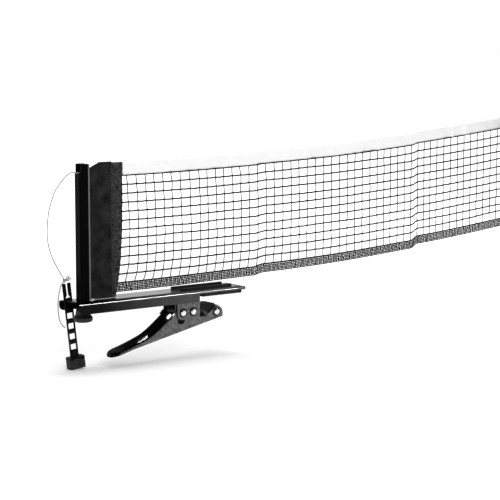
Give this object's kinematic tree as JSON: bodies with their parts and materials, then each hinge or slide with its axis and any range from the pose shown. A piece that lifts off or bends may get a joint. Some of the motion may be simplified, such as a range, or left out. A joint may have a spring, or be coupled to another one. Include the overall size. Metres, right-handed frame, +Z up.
{
  "type": "table tennis net clamp",
  "caption": "Table tennis net clamp: channel rail with a sprung squeeze lever and rubber jaws, carrying a net post, slotted tension strap, tie cord and one end of the net.",
  "frame": {"origin": "middle of the jaw pad's underside, which rests on the table top's edge", "axes": "+X along the rail from the net post towards the table and along the net, +Y away from the front, +Z up"},
  "size_m": [0.7914, 0.1026, 0.2831],
  "materials": {
    "black_paint": "satin black stoved paint on pressed steel",
    "nickel": "bright nickel plate",
    "spring_steel": "drawn spring wire, lightly oiled",
    "black_plastic": "moulded black plastic",
    "black_rubber": "ribbed black rubber",
    "black_fabric": "woven black polyester cloth",
    "black_thread": "knotted black thread",
    "white_tape": "white woven tape",
    "white_cord": "braided white cord"
  },
  "bodies": {
    "frame": {"jaw_rail": "black_paint", "lever_bracket": "black_paint", "post_bridge": "black_paint", "jaw_pad": "black_rubber", "pivot_rivet": "nickel", "stop_rivet": "nickel", "pivot_spacer": "nickel", "stop_spacer": "nickel", "torsion_spring": "spring_steel"},
    "lever": {"squeeze_lever": "black_paint", "shoe_rivet": "nickel"},
    "shoe": {"jaw_shoe": "black_plastic", "shoe_pad": "black_rubber"},
    "post": {"net_post": "black_paint", "post_foot": "black_plastic", "net_sleeve": "black_fabric", "sleeve_rod": "black_plastic", "net_mesh": "black_thread", "net_band": "black_thread", "net_tape": "white_tape", "net_roll": "black_thread", "far_sleeve": "black_fabric", "tension_cord": "white_cord"},
    "knob": {"height_knob": "black_plastic", "height_screw": "nickel", "screw_collar": "nickel"},
    "strap": {"tension_strap": "black_plastic"}
  },
  "joints": [
    {"name": "lever_pivot", "type": "hinge", "parent": "frame", "child": "lever", "pos_m": [-0.0548, 0, -0.0179], "axis": [0, 1, 0], "range_deg": [0, 28], "stiffness_Nm_per_rad": 2, "springref_deg": -34.38, "deforming": ["torsion_spring"]},
    {"name": "shoe_pivot", "type": "hinge", "parent": "lever", "child": "shoe", "pos_m": [-0.0036, 0, -0.0212], "axis": [0, 1, 0], "range_deg": [-12, 12]},
    {"name": "post_height", "type": "slide", "parent": "frame", "child": "post", "axis": [0, 0, 1], "range_m": [-0.002, 0.003]},
    {"name": "knob_turn", "type": "hinge", "parent": "frame", "child": "knob", "pos_m": [-0.18605, 0, 0], "axis": [0, 0, 1], "range_deg": [-360, 540]},
    {"name": "strap_slide", "type": "slide", "parent": "post", "child": "strap", "axis": [-0.1149, 0, 0.9934], "range_m": [-0.012, 0], "deforming": ["tension_cord"]}
  ],
  "couplings": [
    {"joint": "knob_turn", "follows": "post_height", "rad_per_m": 3141.6}
  ]
}
